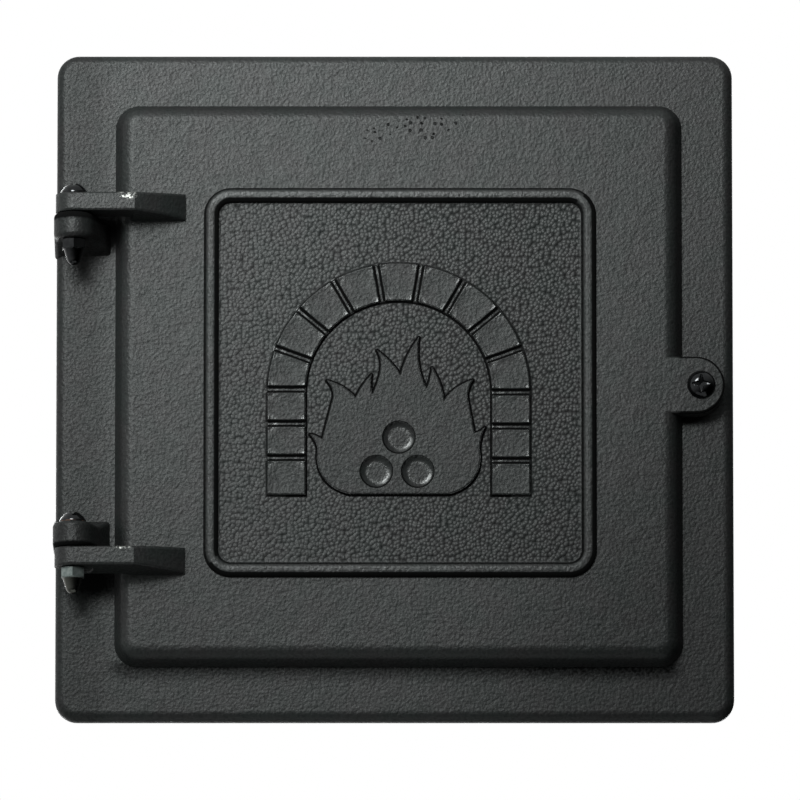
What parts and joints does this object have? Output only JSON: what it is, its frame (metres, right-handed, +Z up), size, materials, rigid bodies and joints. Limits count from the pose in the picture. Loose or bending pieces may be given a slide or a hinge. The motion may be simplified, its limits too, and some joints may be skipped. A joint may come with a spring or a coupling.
{
  "type": "hinged cast iron flue door",
  "caption": "Square cast iron flue door: a plate frame with a rear masonry collar, a raised leaf with a hearth relief on bolted hinges, and a closing screw.",
  "frame": {"origin": "centre of the plate and of its collar, on the plate's back face, which lies on the wall", "axes": "+Y into the wall along the collar, +X to the right as seen from the front, +Z up"},
  "size_m": [0.3058, 0.0758, 0.305],
  "materials": {
    "cast_iron": "matt black heat-proof paint on a sand-cast skin",
    "dark_steel": "blackened, polished steel",
    "zinc_steel": "dull zinc-plated steel"
  },
  "bodies": {
    "frame": {"frame": "cast_iron", "upper_hinge_bolt": "dark_steel", "upper_hinge_nut": "dark_steel", "lower_hinge_bolt": "dark_steel", "lower_hinge_nut": "zinc_steel"},
    "door": {"door_leaf": "cast_iron"},
    "screw": {"closing_screw": "dark_steel"}
  },
  "joints": [
    {"name": "door_hinge", "type": "hinge", "parent": "frame", "child": "door", "pos_m": [-0.1443, -0.0268, 0], "axis": [0, 0, -1], "range_deg": [0, 180]},
    {"name": "closing_screw_travel", "type": "slide", "parent": "door", "child": "screw", "axis": [0, -1, 0], "range_m": [0, 0.012]}
  ]
}
